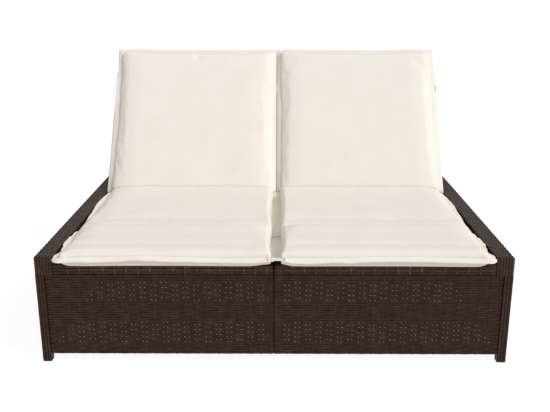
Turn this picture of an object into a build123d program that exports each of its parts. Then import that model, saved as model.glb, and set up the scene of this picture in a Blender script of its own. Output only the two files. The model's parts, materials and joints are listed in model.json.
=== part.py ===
"""Double chaise lounger: two reclining places side by side on one low woven base.

Millimetres. X runs across the lounger, Y from its foot end to its head end, Z up.
The origin is on the floor, at the centre of the whole outline.
"""

import math
import os

from build123d import *

# Overall sizes
base_width = 1550.0
base_length = 1550.0
rail_top_z = 372.0
deck_top_z = 345.0
cushion_overhang = 24.0

# Wrapped tubes and woven skins
rail_width = 57.0
rail_height = 62.0
rail_wall = 4.0
rail_corner = 7.0
cap_wall = 4.0
cap_spigot_depth = 16.0
spigot_clearance = 0.3
leg_size = 30.0
leg_wall = 3.5
leg_corner = 5.0
header_depth = 30.0
tube_wall = 2.0
tube_corner = 3.0
skin_thickness = 6.0
skin_recess = 1.0
panel_bottom_z = 28.0
panel_bar_z = 140.0
panel_bar_height = 66.0
panel_bar_depth = 20.0
sill_size = 25.0
seam_gap = 1.0

# Feet
glide_height = 5.0
glide_corner = 4.0
glide_spigot_depth = 18.0

# Deck and the members below it
deck_thickness = 6.0
cross_tube_size = 30.0
cross_bar_height = 9.7
centre_beam_width = 60.0
centre_leg_setback = 60.0
seat_tube_setback = 400.0

# Reclining backs
hinge_setback = 818.0
hinge_tube_gap = 20.0
rest_angle = 54.0
back_length = 694.0
back_tube_size = 26.0
back_tube_wall = 3.5
back_tube_corner = 4.0
back_side_clearance = 4.0
back_centre_clearance = 5.0
back_weave_thickness = 5.0
hinge_pin_radius = 5.0
hinge_running_clearance = 0.05
hinge_plate_thickness = 6.0
hinge_plate_margin = 16.0
pin_engagement = 15.0

# Prop stays and their racks
stay_pivot_distance = 300.0
stay_slope = 57.4
stay_rod_radius = 6.0
stay_running_clearance = 0.08
stay_leg_inset = 18.0
stay_bend_radius = 14.0
stay_foot_clearance = 0.5
stay_end_clearance = 1.5
rack_width = 20.0
rack_height = 24.0
rack_inset = 39.0
rack_bar_setback = 1040.0
rest_bar_setback = 1470.0
notch_clearance = 0.6
notch_depth = 5.0
notch_angles = (14.0, 27.0, 40.0, rest_angle)

# Bolts under the centre beam
bolt_radius = 3.0
bolt_head_radius = 5.5
bolt_head_height = 4.0
bolt_hole_clearance = 0.1
bolt_offset = 22.0
bolt_reach = 5.0

# Cushions
cushion_thickness = 53.0
cushion_side_clearance = 2.0
cushion_centre_gap = 3.0
leg_cushion_length = 286.0
fold_gap = 1.0
hinge_side_gap = 24.0
back_cushion_start = 22.0
back_cushion_end = 721.0
side_flange = 20.0
fold_flange = 8.0
front_flange = 14.0
end_flange = 20.0
flange_thickness = 4.0
drawn_in = 5.0
edge_roll = 20.0
crown_height_shares = (0.0, 0.16, 0.36, 0.6, 0.79, 0.91, 0.975, 1.0)
crown_inset_shares = (0.62, 0.2, 0.0, 0.04, 0.32, 0.95, 2.2, 4.2)

# Straps round the backs
strap_setback = 505.0
strap_width = 32.0
strap_thickness = 1.5
strap_clearance = 0.4

# One overrun serves every cut
overrun = 1.0

# Places that follow from the sizes above
total_length = base_length + cushion_overhang
front_y = cushion_overhang - total_length / 2
rear_y = front_y + base_length
side_x = base_width / 2
rail_inner_x = side_x - rail_width
rail_bottom_z = rail_top_z - rail_height
leg_inner_x = side_x - leg_size
side_sill_outer_x = side_x - skin_recess - skin_thickness
side_sill_inner_x = side_sill_outer_x - sill_size
deck_bottom_z = deck_top_z - deck_thickness
header_rear_y = front_y + header_depth
deck_rear_y = front_y + hinge_setback - hinge_tube_gap
cross_tube_bottom_z = deck_bottom_z - cross_tube_size
rack_top_z = cross_tube_bottom_z
rack_bottom_z = rack_top_z - rack_height
beam_bottom_z = cross_tube_bottom_z - cross_tube_size
hinge_y = front_y + hinge_setback
hinge_z = deck_top_z - back_tube_size / 2
half_tube = back_tube_size / 2
back_outer_x = rail_inner_x - back_side_clearance
back_inner_x = back_centre_clearance
stile_inner_face_x = back_outer_x - back_tube_size
inner_stile_face_x = back_inner_x + back_tube_size
cushion_outer_x = rail_inner_x - cushion_side_clearance
cushion_inner_x = cushion_centre_gap / 2
pivot_y = hinge_y + stay_pivot_distance * math.cos(math.radians(rest_angle))
pivot_z = hinge_z + stay_pivot_distance * math.sin(math.radians(rest_angle))
foot_z = rack_top_z + stay_rod_radius + stay_foot_clearance
stay_length = (pivot_z - foot_z) / math.sin(math.radians(stay_slope))
foot_y = pivot_y + stay_length * math.cos(math.radians(stay_slope))
beam_members = (
    (front_y + seat_tube_setback, cross_tube_bottom_z + bolt_reach),
    (deck_rear_y - cross_tube_size / 2, cross_tube_bottom_z + bolt_reach),
    (front_y + rack_bar_setback + cross_tube_size / 2, cross_tube_bottom_z + bolt_reach),
    (front_y + rest_bar_setback + cross_tube_size / 2, cross_tube_bottom_z + bolt_reach),
)


def block(low, high):
    """A box between two corners."""
    size = [b - a for a, b in zip(low, high)]
    middle = [(a + b) / 2 for a, b in zip(low, high)]
    return Pos(*middle) * Box(*size)


def rounded(low, high, along, corner):
    """A bar with its long edges rounded."""
    bar = block(low, high)
    return fillet(bar.edges().filter_by(along), corner)


def tube(low, high, along, wall, corner):
    """A straight hollow tube, open at both ends."""
    reach = [overrun if axis == along else -wall for axis in (Axis.X, Axis.Y, Axis.Z)]
    inner_low = [a - r for a, r in zip(low, reach)]
    inner_high = [b + r for b, r in zip(high, reach)]
    return rounded(low, high, along, corner) - block(inner_low, inner_high)


def rod(start, end, radius):
    """A round bar between two points on one axis."""
    run = Vector(*end) - Vector(*start)
    return extrude(Plane(origin=start, z_dir=run) * Circle(radius), run.length)


def raised(shape):
    """A piece of a back, turned up from flat to the angle in which it rests."""
    return Pos(0, hinge_y, hinge_z) * Rot(rest_angle, 0, 0) * Pos(0, -hinge_y, -hinge_z) * shape


def on_back(low, high):
    """Corners in (across, along the back, above its middle) as points of the flat back."""
    return (
        (low[0], hinge_y + low[1], hinge_z + low[2]),
        (high[0], hinge_y + high[1], hinge_z + high[2]),
    )


def outline(low, high, inset, level):
    """A four-sided outline whose sides are drawn in between its corners."""
    x0, x1 = low[0] + inset, high[0] - inset
    y0, y1 = low[1] + inset, high[1] - inset
    xm, ym = (x0 + x1) / 2, (y0 + y1) / 2
    sides = (
        ((x0, y0), (xm, y0 + drawn_in), (x1, y0)),
        ((x1, y0), (x1 - drawn_in, ym), (x1, y1)),
        ((x1, y1), (xm, y1 - drawn_in), (x0, y1)),
        ((x0, y1), (x0 + drawn_in, ym), (x0, y0)),
    )
    return Pos(0, 0, level) * make_face([ThreePointArc(*side) for side in sides])


def cushion(low, high, base_z, flange_before, flange_behind):
    """A crowned pad with drawn-in sides and a thin sewn flange round its middle."""
    body_low = (low[0] + side_flange, low[1] + flange_before)
    body_high = (high[0] - side_flange, high[1] - flange_behind)
    sections = [
        outline(body_low, body_high, inset * edge_roll, base_z + height * cushion_thickness)
        for height, inset in zip(crown_height_shares, crown_inset_shares)
    ]
    middle_z = base_z + (cushion_thickness - flange_thickness) / 2
    flange = extrude(outline(low, high, 0, middle_z), flange_thickness)
    return loft(sections, ruled=True) + flange


# Base: wrapped legs, arm rails and their end caps
def corner_leg(y0):
    low = (leg_inner_x, y0, glide_height)
    high = (side_x, y0 + leg_size, rail_bottom_z)
    return tube(low, high, Axis.Z, leg_wall, leg_corner)


def centre_leg(y0):
    low = (-leg_size / 2, y0, glide_height)
    high = (leg_size / 2, y0 + leg_size, beam_bottom_z)
    return tube(low, high, Axis.Z, leg_wall, leg_corner)


def foot_glide(x0, y0):
    pad = rounded((x0, y0, 0), (x0 + leg_size, y0 + leg_size, glide_height), Axis.Z, glide_corner)
    inset = leg_wall + spigot_clearance
    low = (x0 + inset, y0 + inset, glide_height)
    high = (x0 + leg_size - inset, y0 + leg_size - inset, glide_height + glide_spigot_depth)
    return pad + block(low, high)


def arm_rail():
    low = (rail_inner_x, front_y + cap_wall, rail_bottom_z)
    high = (side_x, rear_y - cap_wall, rail_top_z)
    rail = tube(low, high, Axis.Y, rail_wall, rail_corner)
    pin_start = (rail_inner_x - overrun, hinge_y, hinge_z)
    pin_end = (rail_inner_x + pin_engagement, hinge_y, hinge_z)
    return rail - rod(pin_start, pin_end, hinge_pin_radius)


def rail_cap(outer_y, inward):
    """A wrapped cap at one end of a rail, with a spigot into the rail."""
    seat_y = outer_y + inward * cap_wall
    spigot_y = seat_y + inward * cap_spigot_depth
    inset = rail_wall + spigot_clearance
    face = rounded(
        (rail_inner_x, min(outer_y, seat_y), rail_bottom_z),
        (side_x, max(outer_y, seat_y), rail_top_z),
        Axis.Y,
        rail_corner,
    )
    spigot = block(
        (rail_inner_x + inset, min(seat_y, spigot_y), rail_bottom_z + inset),
        (side_x - inset, max(seat_y, spigot_y), rail_top_z - inset),
    )
    return face + spigot


def header(y0):
    low = (seam_gap / 2, y0, rail_bottom_z)
    high = (rail_inner_x, y0 + header_depth, deck_top_z)
    return tube(low, high, Axis.X, tube_wall, tube_corner)


def end_sill(y0):
    low = (seam_gap / 2, y0, panel_bottom_z)
    high = (side_sill_inner_x, y0 + sill_size, panel_bottom_z + sill_size)
    return tube(low, high, Axis.X, tube_wall, tube_corner)


def side_sill():
    low = (side_sill_inner_x, front_y + leg_size, panel_bottom_z)
    high = (side_sill_outer_x, rear_y - leg_size, panel_bottom_z + sill_size)
    return tube(low, high, Axis.Y, tube_wall, tube_corner)


# Base: woven skins
def end_panel(y0):
    low = (seam_gap / 2, y0, panel_bottom_z)
    return block(low, (leg_inner_x, y0 + skin_thickness, rail_bottom_z))


def panel_bar(y0):
    """The tube behind the middle of two woven panels, welded to the corner legs."""
    low = (-leg_inner_x, y0, panel_bar_z)
    high = (leg_inner_x, y0 + panel_bar_depth, panel_bar_z + panel_bar_height)
    return tube(low, high, Axis.X, tube_wall, tube_corner)


def side_panel():
    low = (side_sill_outer_x, front_y + leg_size, panel_bottom_z)
    return block(low, (side_x - skin_recess, rear_y - leg_size, rail_bottom_z))


def seat_deck():
    low = (seam_gap / 2, header_rear_y, deck_bottom_z)
    return block(low, (rail_inner_x, deck_rear_y, deck_top_z))


# Base: members below the deck
def bolt_positions():
    return [(x, y, tip_z) for y, tip_z in beam_members for x in (-bolt_offset, bolt_offset)]


def bolt_holes():
    radius = bolt_radius + bolt_hole_clearance
    low_z = beam_bottom_z - overrun
    return [rod((x, y, low_z), (x, y, tip_z), radius) for x, y, tip_z in bolt_positions()]


def frame_bolts():
    bolts = []
    for x, y, tip_z in bolt_positions():
        shank = rod((x, y, beam_bottom_z), (x, y, tip_z), bolt_radius)
        head = rod((x, y, beam_bottom_z - bolt_head_height), (x, y, beam_bottom_z), bolt_head_radius)
        bolts.append(shank + head)
    return bolts


def centre_beam():
    inset = skin_recess + skin_thickness
    low = (-centre_beam_width / 2, front_y + inset, beam_bottom_z)
    high = (centre_beam_width / 2, rear_y - inset, cross_tube_bottom_z)
    beam = tube(low, high, Axis.Y, tube_wall, tube_corner)
    return beam - bolt_holes()


def cross_tube(y0):
    low = (-rail_inner_x, y0, cross_tube_bottom_z)
    high = (rail_inner_x, y0 + cross_tube_size, deck_bottom_z)
    return tube(low, high, Axis.X, tube_wall, tube_corner) - bolt_holes()


def cross_bar(setback):
    y0 = front_y + setback
    low = (-rail_inner_x, y0, cross_tube_bottom_z)
    high = (rail_inner_x, y0 + cross_tube_size, cross_tube_bottom_z + cross_bar_height)
    return block(low, high) - bolt_holes()


# Racks: the notches follow the prop stay at each angle of the back
def notch_y(angle):
    lift = hinge_z + stay_pivot_distance * math.sin(math.radians(angle)) - foot_z
    reach = math.sqrt(stay_length**2 - lift**2)
    return hinge_y + stay_pivot_distance * math.cos(math.radians(angle)) + reach


def rack_bar(x0):
    low = (x0, front_y + rack_bar_setback, rack_bottom_z)
    high = (x0 + rack_width, front_y + rest_bar_setback + cross_tube_size, rack_top_z)
    bar = block(low, high)
    radius = stay_rod_radius + notch_clearance
    level = rack_top_z - notch_depth + radius
    for angle in notch_angles:
        start = (x0 - overrun, notch_y(angle), level)
        bar -= rod(start, (x0 + rack_width + overrun, notch_y(angle), level), radius)
    return bar


def prop_rack():
    inner = rack_bar(inner_stile_face_x + rack_inset)
    outer = rack_bar(stile_inner_face_x - rack_inset - rack_width)
    return [inner, outer]


# Hinges
def hinge_plate():
    half = hinge_plate_thickness / 2
    low = (-half, deck_rear_y, cross_tube_bottom_z)
    high = (half, hinge_y + hinge_plate_margin, hinge_z + hinge_plate_margin)
    plate = block(low, high)
    pin_start = (-half - overrun, hinge_y, hinge_z)
    return plate - rod(pin_start, (half + overrun, hinge_y, hinge_z), hinge_pin_radius)


def hinge_pins():
    centre_start = (-inner_stile_face_x, hinge_y, hinge_z)
    pins = [rod(centre_start, (inner_stile_face_x, hinge_y, hinge_z), hinge_pin_radius)]
    for side in (-1, 1):
        start = (side * stile_inner_face_x, hinge_y, hinge_z)
        end = (side * (rail_inner_x + pin_engagement), hinge_y, hinge_z)
        pins.append(rod(start, end, hinge_pin_radius))
    return pins


# Backs: built flat, along the deck
def back_stile(x0):
    low, high = on_back((x0, -half_tube, -half_tube), (x0 + back_tube_size, back_length, half_tube))
    stile = tube(low, high, Axis.Y, back_tube_wall, back_tube_corner)
    radius = hinge_pin_radius + hinge_running_clearance
    start, end = on_back((x0 - overrun, 0, 0), (x0 + back_tube_size + overrun, 0, 0))
    return stile - rod(start, end, radius)


def stay_hole(stile, wall_x0):
    """The hole that one end of the prop stay turns in, through one wall of a stile."""
    low, high = on_back(
        (wall_x0 - overrun, stay_pivot_distance, 0),
        (wall_x0 + back_tube_wall + overrun, stay_pivot_distance, 0),
    )
    return stile - rod(low, high, stay_rod_radius + stay_running_clearance)


def back_outer_stile():
    return stay_hole(back_stile(stile_inner_face_x), stile_inner_face_x)


def back_inner_stile():
    return stay_hole(back_stile(back_inner_x), inner_stile_face_x - back_tube_wall)


def back_cross_tube(u0):
    low, high = on_back(
        (inner_stile_face_x, u0, -half_tube),
        (stile_inner_face_x, u0 + back_tube_size, half_tube),
    )
    return tube(low, high, Axis.X, back_tube_wall, back_tube_corner)


def back_weave():
    low, high = on_back(
        (inner_stile_face_x, half_tube, half_tube - back_weave_thickness),
        (stile_inner_face_x, back_length - back_tube_size, half_tube),
    )
    return block(low, high)


# Prop stay: one bent rod, its two ends turning in the stiles
def prop_stay():
    leg_outer_x = stile_inner_face_x - stay_leg_inset
    leg_inner = inner_stile_face_x + stay_leg_inset
    end_reach = back_tube_wall + stay_end_clearance + stay_rod_radius
    route = [
        (stile_inner_face_x + end_reach, pivot_y, pivot_z),
        (leg_outer_x, pivot_y, pivot_z),
        (leg_outer_x, foot_y, foot_z),
        (leg_inner, foot_y, foot_z),
        (leg_inner, pivot_y, pivot_z),
        (inner_stile_face_x - end_reach, pivot_y, pivot_z),
    ]
    path = FilletPolyline(*route, radius=stay_bend_radius)
    section = Plane(origin=route[0], z_dir=(-1, 0, 0)) * Circle(stay_rod_radius)
    return sweep(section, path=path)


# Cushions and straps
def leg_cushion():
    low = (cushion_inner_x, front_y - cushion_overhang)
    high = (cushion_outer_x, front_y - cushion_overhang + leg_cushion_length)
    return cushion(low, high, deck_top_z, front_flange, fold_flange)


def seat_cushion():
    low = (cushion_inner_x, front_y - cushion_overhang + leg_cushion_length + fold_gap)
    high = (cushion_outer_x, hinge_y - hinge_side_gap)
    return cushion(low, high, deck_top_z, fold_flange, fold_flange)


def back_cushion():
    low = (cushion_inner_x, hinge_y + back_cushion_start)
    high = (cushion_outer_x, hinge_y + back_cushion_end)
    return cushion(low, high, deck_top_z, fold_flange, end_flange)


def back_strap():
    """An elastic band from the cushion's flanges round the rear of the frame."""
    inner_x = back_inner_x - strap_clearance - strap_thickness
    outer_x = back_outer_x + strap_clearance + strap_thickness
    rear = -half_tube - strap_clearance - strap_thickness
    front = half_tube + (cushion_thickness - flange_thickness) / 2
    u0, u1 = strap_setback, strap_setback + strap_width
    inner_leg = block(*on_back((inner_x, u0, rear), (inner_x + strap_thickness, u1, front)))
    outer_leg = block(*on_back((outer_x - strap_thickness, u0, rear), (outer_x, u1, front)))
    across = block(*on_back((inner_x, u0, rear), (outer_x, u1, rear + strap_thickness)))
    return inner_leg + outer_leg + across


def save(node, shape):
    """One file for one node; a list is a group of separate solids."""
    if isinstance(shape, list):
        shape = Compound(children=[solid for item in shape for solid in item.solids()])
    export_step(shape, os.path.join("parts", node + ".step"))


def both_sides(node, shape):
    """The right-hand piece, and its mirror image on the left."""
    pieces = shape if isinstance(shape, list) else [shape]
    save(node + "_right", list(pieces))
    save(node + "_left", [mirror(piece, about=Plane.YZ) for piece in pieces])


os.makedirs("parts", exist_ok=True)
rear_leg_y = rear_y - leg_size
centre_leg_ys = (front_y + centre_leg_setback, rear_y - centre_leg_setback - leg_size)

both_sides("front_leg", corner_leg(front_y))
both_sides("rear_leg", corner_leg(rear_leg_y))
save("centre_leg_front", [centre_leg(centre_leg_ys[0])])
save("centre_leg_rear", [centre_leg(centre_leg_ys[1])])
both_sides("arm_rail", arm_rail())
both_sides("front_header", header(front_y))
both_sides("rear_header", header(rear_y - header_depth))
both_sides("front_sill", end_sill(front_y + skin_recess + skin_thickness))
both_sides("rear_sill", end_sill(rear_y - skin_recess - skin_thickness - sill_size))
both_sides("side_sill", side_sill())
both_sides("front_panel", end_panel(front_y + skin_recess))
both_sides("rear_panel", end_panel(rear_y - skin_recess - skin_thickness))
both_sides("side_panel", side_panel())
save("front_panel_bar", [panel_bar(front_y + skin_recess + skin_thickness)])
save("rear_panel_bar", [panel_bar(rear_y - skin_recess - skin_thickness - panel_bar_depth)])
both_sides("seat_deck", seat_deck())
save("centre_beam", [centre_beam()])
save("seat_tube", [cross_tube(front_y + seat_tube_setback - cross_tube_size / 2)])
save("hinge_tube", [cross_tube(deck_rear_y - cross_tube_size)])
save("rack_bar", [cross_bar(rack_bar_setback)])
save("rest_bar", [cross_bar(rest_bar_setback)])
save("frame_bolts", frame_bolts())
both_sides("prop_rack", prop_rack())
save("hinge_plate", [hinge_plate()])
save("hinge_pins", hinge_pins())

caps = [rail_cap(front_y, 1), rail_cap(rear_y, -1)]
save("rail_caps", caps + [mirror(cap, about=Plane.YZ) for cap in caps])
glides = [foot_glide(leg_inner_x, y) for y in (front_y, rear_leg_y)]
centre_glides = [foot_glide(-leg_size / 2, y) for y in centre_leg_ys]
save("foot_glides", glides + centre_glides + [mirror(glide, about=Plane.YZ) for glide in glides])

both_sides("back_outer_stile", raised(back_outer_stile()))
both_sides("back_inner_stile", raised(back_inner_stile()))
both_sides("back_foot_tube", raised(back_cross_tube(-half_tube)))
both_sides("back_top_tube", raised(back_cross_tube(back_length - back_tube_size)))
both_sides("back_weave", raised(back_weave()))
both_sides("prop_stay", prop_stay())

both_sides("leg_cushion", leg_cushion())
both_sides("seat_cushion", seat_cushion())
both_sides("back_cushion", raised(back_cushion()))
both_sides("back_strap", raised(back_strap()))

print(f"pivot y {pivot_y:.3f} z {pivot_z:.3f}, foot y {foot_y:.3f} z {foot_z:.3f}, stay {stay_length:.3f}")
print(f"hinge y {hinge_y:.3f} z {hinge_z:.3f}, front y {front_y:.3f}, rear y {rear_y:.3f}")
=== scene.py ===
"""The finished look of a double chaise lounger with a woven skirt and two reclining backs.

Metres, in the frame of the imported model: X across, Y from foot end to head end, Z up.
"""

import json
import math

import bmesh
import bpy
from mathutils import Matrix, Vector, noise


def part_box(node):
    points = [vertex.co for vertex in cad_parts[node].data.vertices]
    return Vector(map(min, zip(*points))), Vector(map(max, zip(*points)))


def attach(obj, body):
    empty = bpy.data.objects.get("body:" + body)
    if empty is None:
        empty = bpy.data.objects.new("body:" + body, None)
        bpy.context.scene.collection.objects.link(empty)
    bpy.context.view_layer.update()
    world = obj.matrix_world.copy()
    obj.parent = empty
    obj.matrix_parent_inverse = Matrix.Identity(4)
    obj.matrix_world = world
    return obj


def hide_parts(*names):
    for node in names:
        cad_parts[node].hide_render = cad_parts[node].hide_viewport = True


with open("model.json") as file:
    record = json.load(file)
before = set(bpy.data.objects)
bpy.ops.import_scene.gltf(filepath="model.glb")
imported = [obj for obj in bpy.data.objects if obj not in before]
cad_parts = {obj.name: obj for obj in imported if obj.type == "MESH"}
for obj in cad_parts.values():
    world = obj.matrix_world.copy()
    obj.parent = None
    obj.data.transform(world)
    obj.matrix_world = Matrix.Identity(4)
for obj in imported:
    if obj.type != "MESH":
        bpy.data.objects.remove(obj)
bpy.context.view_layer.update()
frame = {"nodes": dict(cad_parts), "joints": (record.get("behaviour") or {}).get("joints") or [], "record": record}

bl_info = {
    "name": "Double chaise lounger", "version": (1, 0, 0), "blender": (4, 5, 0),
    "location": "View3D > Sidebar > Lounger",
    "description": "Builds a woven double chaise lounger with sectioned cushions", "category": "Add Mesh"
}

MM = 0.001
DARK_STRAND = "#2a1913"
# Strand of the headers and rails, which leans to olive, partly as painted light and sheen: dark, middle and light
OLIVE_STRAND = ("#2a1c14", "#36261b", "#443326")
SIDES = (("left", -1), ("right", 1))
REST_ANGLE = math.radians(54)
HINGE = Vector(frame["joints"][0]["pos_m"])
FRONT_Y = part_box("front_leg_right")[0][1]
CENTRE_Y = (FRONT_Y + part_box("rear_leg_right")[1][1]) / 2


# Sizes and colours that a user would change
class LoungerSizes(bpy.types.PropertyGroup):
    row_count: bpy.props.IntProperty(
        name="Skirt rows", description="Woven rows in the height of the skirt", default=32, min=4
    )
    warp_spacing: bpy.props.FloatProperty(
        name="Warp spacing", description="Distance between the upright strands of the skirt",
        default=35 * MM, unit="LENGTH"
    )
    warp_width: bpy.props.FloatProperty(
        name="Warp width", description="Width of the upright strands of the skirt", default=9.5 * MM,
        unit="LENGTH"
    )
    weave_depth: bpy.props.FloatProperty(
        name="Weave depth", description="How far a strand swings to each side as it passes over and under",
        default=0.9 * MM, unit="LENGTH"
    )
    strand_thickness: bpy.props.FloatProperty(
        name="Strand thickness", description="Thickness of one flat strand", default=1.3 * MM, unit="LENGTH"
    )
    wrap_pitch: bpy.props.FloatProperty(
        name="Wrap pitch", description="Distance between strands wound round a tube", default=8.4 * MM,
        unit="LENGTH"
    )
    cushion_cell: bpy.props.FloatProperty(
        name="Cushion cell", description="Mesh size of the cushion covers", default=9 * MM, unit="LENGTH"
    )
    cushion_swell: bpy.props.FloatProperty(
        name="Cushion swell", description="Most that a cushion cover may puff out from its cut shape",
        default=3 * MM, unit="LENGTH"
    )
    flange_wave: bpy.props.FloatProperty(
        name="Flange wave", description="Height of the ripples in the sewn flanges", default=3 * MM,
        unit="LENGTH"
    )


class LoungerColours(bpy.types.PropertyGroup):
    strand: bpy.props.StringProperty(
        name="Strand", description="Dark brown synthetic rattan", default="#382219"
    )
    strand_light: bpy.props.StringProperty(
        name="Strand, light", description="Rubbed crowns of the strand", default="#472e23"
    )
    cover: bpy.props.StringProperty(
        name="Cover", description="Cream polyester cushion cover", default="#f5efe5"
    )
    steel: bpy.props.StringProperty(
        name="Coated steel", description="Dark brown powder coat", default="#2b221d"
    )
    zinc: bpy.props.StringProperty(name="Zinc plate", description="Bolts and pins", default="#b9bab6")
    glide: bpy.props.StringProperty(name="Glides", description="Moulded black feet", default="#1b1a19")


def sizes():
    return bpy.context.scene.lounger_sizes


def colours():
    return bpy.context.scene.lounger_colours


# Materials
def srgb(code, alpha=1.0):
    """A hex colour as the linear values that Blender's sockets take."""
    channels = [int(code[i : i + 2], 16) / 255 for i in (1, 3, 5)]
    linear = [c / 12.92 if c <= 0.04045 else ((c + 0.055) / 1.055) ** 2.4 for c in channels]
    return (*linear, alpha)


def new_material(name):
    material = bpy.data.materials.new(name)
    material.use_nodes = True
    return material


def add_node(owner, kind, settings=None, inputs=None, links=None, stops=()):
    """One node of a material or world: its settings, values, links and (position, colour) stops."""
    node = owner.node_tree.nodes.new(kind)
    for key, value in (settings or {}).items():
        setattr(node, key, value)
    if stops:
        elements = node.color_ramp.elements
        while len(elements) < len(stops):
            elements.new(0.5)
        for element, (position, code) in zip(elements, stops):
            element.position = position
            element.color = srgb(code)
    return set_node(owner, node.name, inputs, links)


def set_node(owner, name, inputs=None, links=None):
    """Sets the sockets of a node that is there, and links other nodes' outputs to them."""
    node = owner.node_tree.nodes[name]
    for key, value in (inputs or {}).items():
        node.inputs[key].default_value = value
    for key, source in (links or {}).items():
        owner.node_tree.links.new(source, node.inputs[key])
    return node


def strand_material(
    name="synthetic_rattan", crown=1.0, groove_shade=0.3, gloss=0.16, shade_stipple=0.0, rings=1.0, shades=None
):
    """Extruded polyethylene strand: satin, finely grooved along its length, uneven in tone, painted shade at its
    edges.
    """
    material = new_material(name)
    uv = add_node(material, "ShaderNodeUVMap", {"uv_map": "strand"})
    place = add_node(material, "ShaderNodeTexCoord")
    # Grooves about 1.1 mm apart across the strand, and streaks about 60 mm long
    along = add_node(
        material, "ShaderNodeMapping", inputs={"Scale": (16, 900, 1)}, links={"Vector": uv.outputs[0]}
    )
    streak = add_node(
        material, "ShaderNodeTexNoise", inputs={"Scale": 1.0, "Detail": 3.0, "Roughness": 0.6},
        links={"Vector": along.outputs[0]}
    )
    # Each strand's own tone: cells a few centimetres wide
    batch = add_node(
        material, "ShaderNodeTexNoise", inputs={"Scale": 38.0, "Detail": 2.0, "Roughness": 0.5},
        links={"Vector": place.outputs["Object"]}
    )
    tone = add_node(
        material, "ShaderNodeMath", {"operation": "MULTIPLY_ADD"}, inputs={1: 0.5},
        links={0: streak.outputs["Fac"], 2: batch.outputs["Fac"]}
    )
    shades = shades or (DARK_STRAND, colours().strand, colours().strand_light)
    colour = add_node(
        material, "ShaderNodeValToRGB", links={"Fac": tone.outputs[0]},
        stops=tuple(zip((0.35, 0.7, 1.0), shades))
    )
    # Across a strand: the crown at 0, its edges at -1 and 1, where it dips into the next groove
    rib = add_node(material, "ShaderNodeUVMap", {"uv_map": "rib"})
    split = add_node(material, "ShaderNodeSeparateXYZ", links={0: rib.outputs[0]})
    from_crown = add_node(
        material, "ShaderNodeMath", {"operation": "ABSOLUTE"}, links={0: split.outputs["Y"]}
    )
    # Painted shade: each strand darkens from its crown to its edges, and a crown above 1 paints light on it
    across = add_node(
        material, "ShaderNodeMapRange",
        inputs={"From Min": 0.45, "From Max": 1.0, "To Min": crown, "To Max": groove_shade},
        links={"Value": from_crown.outputs[0]}
    )
    # Painted light and shade where strands cross closely: small light and dark spots about 5 mm wide, at random
    # places
    shade_spots = add_node(
        material, "ShaderNodeTexNoise", inputs={"Scale": 210.0, "Detail": 1.0},
        links={"Vector": place.outputs["Object"]}
    )
    spot_shading = add_node(
        material, "ShaderNodeMapRange",
        inputs={"From Min": 0.35, "From Max": 0.65, "To Min": 1 - shade_stipple, "To Max": 1 + shade_stipple},
        links={"Value": shade_spots.outputs["Fac"]}
    )
    painted_shading = add_node(
        material, "ShaderNodeMath", {"operation": "MULTIPLY"},
        links={0: across.outputs[0], 1: spot_shading.outputs[0]}
    )
    # The rings that cross the strands catch more light, and show as small ticks
    ticks = add_node(
        material, "ShaderNodeMapRange", inputs={"To Min": 1.0, "To Max": rings},
        links={"Value": split.outputs["X"]}
    )
    lit = add_node(
        material, "ShaderNodeMath", {"operation": "MULTIPLY"},
        links={0: painted_shading.outputs[0], 1: ticks.outputs[0]}
    )
    shaded = add_node(
        material, "ShaderNodeMix", {"data_type": "RGBA", "blend_type": "MULTIPLY"}, inputs={0: 1.0},
        links={6: colour.outputs["Color"], 7: lit.outputs[0]}
    )
    rough = add_node(
        material, "ShaderNodeMapRange", inputs={"To Min": 0.36, "To Max": 0.55},
        links={"Value": streak.outputs["Fac"]}
    )
    bump = add_node(
        material, "ShaderNodeBump", inputs={"Strength": 0.35, "Distance": 0.25 * MM},
        links={"Height": streak.outputs["Fac"]}
    )
    set_node(
        material, "Principled BSDF", {"IOR": 1.51, "Specular IOR Level": gloss},
        {"Base Color": shaded.outputs[2], "Roughness": rough.outputs[0], "Normal": bump.outputs["Normal"]}
    )
    return material


def cover_material(name="polyester_cover", thread=1.5 * MM):
    """Woven outdoor polyester: matt, soft sheen, threads drawn coarser than life so that they show."""
    material = new_material(name)
    cloth = add_node(material, "ShaderNodeUVMap", {"uv_map": "cloth"})
    place = add_node(material, "ShaderNodeTexCoord")
    # A wave texture has about 3.2 bands in a unit at scale 1
    waves = [
        add_node(
            material,
            "ShaderNodeTexWave",
            {"wave_type": "BANDS", "bands_direction": direction},
            inputs={"Scale": 0.314 / thread, "Distortion": 0.5, "Detail": 1.0, "Detail Scale": 1.5},
            links={"Vector": cloth.outputs[0]},
        )
        for direction in ("X", "Y")
    ]
    threads = add_node(
        material, "ShaderNodeMath", {"operation": "MULTIPLY"},
        links={0: waves[0].outputs["Fac"], 1: waves[1].outputs["Fac"]}
    )
    slub = add_node(
        material, "ShaderNodeTexNoise", inputs={"Scale": 9.0, "Detail": 5.0, "Roughness": 0.62},
        links={"Vector": place.outputs["Object"]}
    )
    colour = add_node(
        material, "ShaderNodeValToRGB", links={"Fac": slub.outputs["Fac"]},
        stops=((0.3, "#f3ede2"), (0.5, colours().cover), (0.72, "#f7f1e8"))
    )
    shaded = add_node(
        material, "ShaderNodeMix", {"data_type": "RGBA", "blend_type": "MULTIPLY"}, inputs={0: 0.06},
        links={6: colour.outputs["Color"], 7: threads.outputs[0]}
    )
    bump = add_node(
        material, "ShaderNodeBump", inputs={"Strength": 0.25, "Distance": 0.15 * MM},
        links={"Height": threads.outputs[0]}
    )
    set_node(
        material, "Principled BSDF",
        {"Roughness": 0.88, "IOR": 1.45, "Specular IOR Level": 0.25, "Sheen Weight": 0.12},
        {"Base Color": shaded.outputs[2], "Normal": bump.outputs["Normal"]}
    )
    return material


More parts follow.
